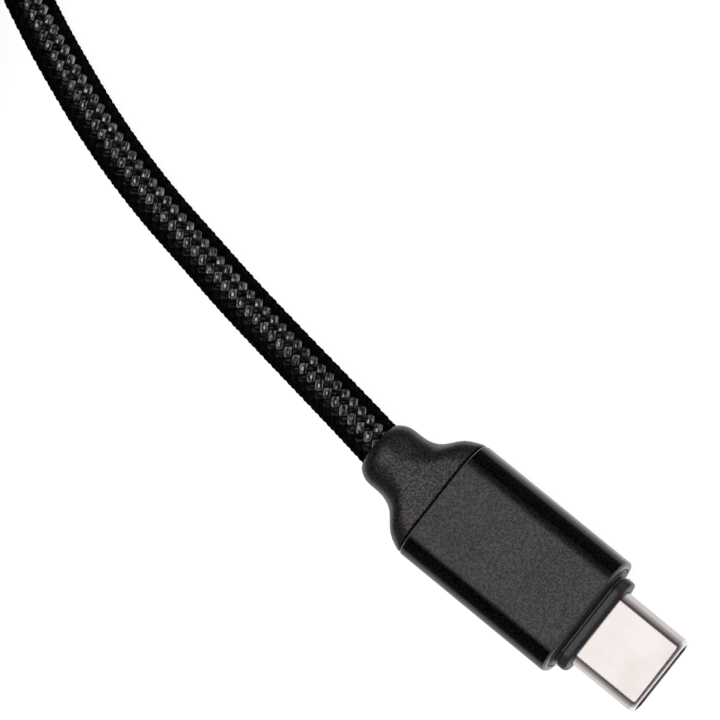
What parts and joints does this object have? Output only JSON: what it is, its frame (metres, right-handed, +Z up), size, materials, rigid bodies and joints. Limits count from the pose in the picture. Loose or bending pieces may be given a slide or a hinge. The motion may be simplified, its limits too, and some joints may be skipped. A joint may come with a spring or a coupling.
{
  "type": "braided usb-c power lead with built-in meter",
  "caption": "Braided USB-C lead with a metal-sleeved plug at each end; the far plug holds a small power meter display, and the spare lead is coiled and tied.",
  "frame": {"origin": "middle of the underside of the near plug, on the surface that it lies on", "axes": "+X from the boot towards the tip of the near plug, +Y across its width, +Z up through its thickness"},
  "size_m": [0.1429, 0.0632, 0.0162],
  "materials": {
    "anodised_aluminium": "fine sandblasted, black anodised",
    "boot_plastic": "fine leathery moulded grain",
    "collar_plastic": "smooth satin",
    "nickel_plate": "satin nickel on drawn steel",
    "gold_contacts": "bright gold plating",
    "spring_steel": "bright rolled strip",
    "insulator": "smooth moulding",
    "inner_mould": "natural moulding",
    "circuit_board": "solder mask",
    "chip_plastic": "moulded package",
    "tin_plate": "tinplate",
    "jacket": "extruded jacket",
    "red_wire": "extruded insulation",
    "black_wire": "extruded insulation",
    "white_wire": "extruded insulation",
    "braid": "tight braided polyester yarn",
    "tie_fabric": "woven hook and loop strap",
    "display_lens": "smoked polished window",
    "display_plastic": "display face"
  },
  "bodies": {
    "root": {"near_shell": "nickel_plate", "far_shell": "nickel_plate", "near_contact_housing": "insulator", "far_contact_housing": "insulator", "near_upper_ground_spring": "spring_steel", "far_upper_ground_spring": "spring_steel", "near_lower_ground_spring": "spring_steel", "far_lower_ground_spring": "spring_steel", "near_paddle_card": "circuit_board", "far_paddle_card": "circuit_board", "near_shield_can": "tin_plate", "far_shield_can": "tin_plate", "near_front_collar": "collar_plastic", "far_front_collar": "collar_plastic", "near_boot": "boot_plastic", "far_boot": "boot_plastic", "near_jacket_end": "jacket", "far_jacket_end": "jacket", "near_crimp_ferrule": "tin_plate", "far_crimp_ferrule": "tin_plate", "near_vbus_wire": "red_wire", "far_vbus_wire": "red_wire", "near_ground_wire": "black_wire", "far_ground_wire": "black_wire", "near_cc_wire": "white_wire", "far_cc_wire": "white_wire", "near_sleeve": "anodised_aluminium", "far_sleeve": "anodised_aluminium", "near_inner_mould": "inner_mould", "far_inner_mould": "inner_mould", "near_marker_chip": "chip_plastic", "far_shunt_resistor": "chip_plastic", "far_display_lens": "display_lens", "far_display_module": "display_plastic", "far_meter_board": "circuit_board", "cord_run": "braid", "cord_tail": "braid", "cord_coil": "braid", "coil_tie": "tie_fabric"},
    "near_upper_contacts": {"near_upper_contacts": "gold_contacts"},
    "near_lower_contacts": {"near_lower_contacts": "gold_contacts"},
    "near_latch_left": {"near_latch_left": "spring_steel"},
    "near_latch_right": {"near_latch_right": "spring_steel"},
    "far_upper_contacts": {"far_upper_contacts": "gold_contacts"},
    "far_lower_contacts": {"far_lower_contacts": "gold_contacts"},
    "far_latch_left": {"far_latch_left": "spring_steel"},
    "far_latch_right": {"far_latch_right": "spring_steel"}
  },
  "joints": [
    {"name": "near_upper_contacts_spread", "type": "hinge", "parent": "root", "child": "near_upper_contacts", "pos_m": [0.00544, 0, 0.00369], "axis": [0, -1, 0], "range_deg": [0, 0.7], "stiffness_Nm_per_rad": 0.01},
    {"name": "near_lower_contacts_spread", "type": "hinge", "parent": "root", "child": "near_lower_contacts", "pos_m": [0.00544, 0, 0.00281], "axis": [0, 1, 0], "range_deg": [0, 0.7], "stiffness_Nm_per_rad": 0.01},
    {"name": "near_latch_left_spread", "type": "hinge", "parent": "root", "child": "near_latch_left", "pos_m": [0.00539, 0.00341, 0.00325], "axis": [0, 0, 1], "range_deg": [0, 1], "stiffness_Nm_per_rad": 0.01},
    {"name": "near_latch_right_spread", "type": "hinge", "parent": "root", "child": "near_latch_right", "pos_m": [0.00539, -0.00341, 0.00325], "axis": [0, 0, -1], "range_deg": [0, 1], "stiffness_Nm_per_rad": 0.01},
    {"name": "far_upper_contacts_spread", "type": "hinge", "parent": "root", "child": "far_upper_contacts", "pos_m": [-0.07576, -0.03715, 0.01344], "axis": [-0.2588, -0.9659, 0], "range_deg": [0, 0.7], "stiffness_Nm_per_rad": 0.01},
    {"name": "far_lower_contacts_spread", "type": "hinge", "parent": "root", "child": "far_lower_contacts", "pos_m": [-0.07576, -0.03715, 0.01256], "axis": [0.2588, 0.9659, 0], "range_deg": [0, 0.7], "stiffness_Nm_per_rad": 0.01},
    {"name": "far_latch_left_spread", "type": "hinge", "parent": "root", "child": "far_latch_left", "pos_m": [-0.07493, -0.03385, 0.013], "axis": [0, 0, 1], "range_deg": [0, 1], "stiffness_Nm_per_rad": 0.01},
    {"name": "far_latch_right_spread", "type": "hinge", "parent": "root", "child": "far_latch_right", "pos_m": [-0.07669, -0.04043, 0.013], "axis": [0, 0, -1], "range_deg": [0, 1], "stiffness_Nm_per_rad": 0.01}
  ],
  "couplings": [
    {"joint": "near_lower_contacts_spread", "follows": "near_upper_contacts_spread", "ratio": 1},
    {"joint": "near_latch_left_spread", "follows": "near_upper_contacts_spread", "ratio": 1.4286},
    {"joint": "near_latch_right_spread", "follows": "near_upper_contacts_spread", "ratio": 1.4286},
    {"joint": "far_lower_contacts_spread", "follows": "far_upper_contacts_spread", "ratio": 1},
    {"joint": "far_latch_left_spread", "follows": "far_upper_contacts_spread", "ratio": 1.4286},
    {"joint": "far_latch_right_spread", "follows": "far_upper_contacts_spread", "ratio": 1.4286}
  ]
}
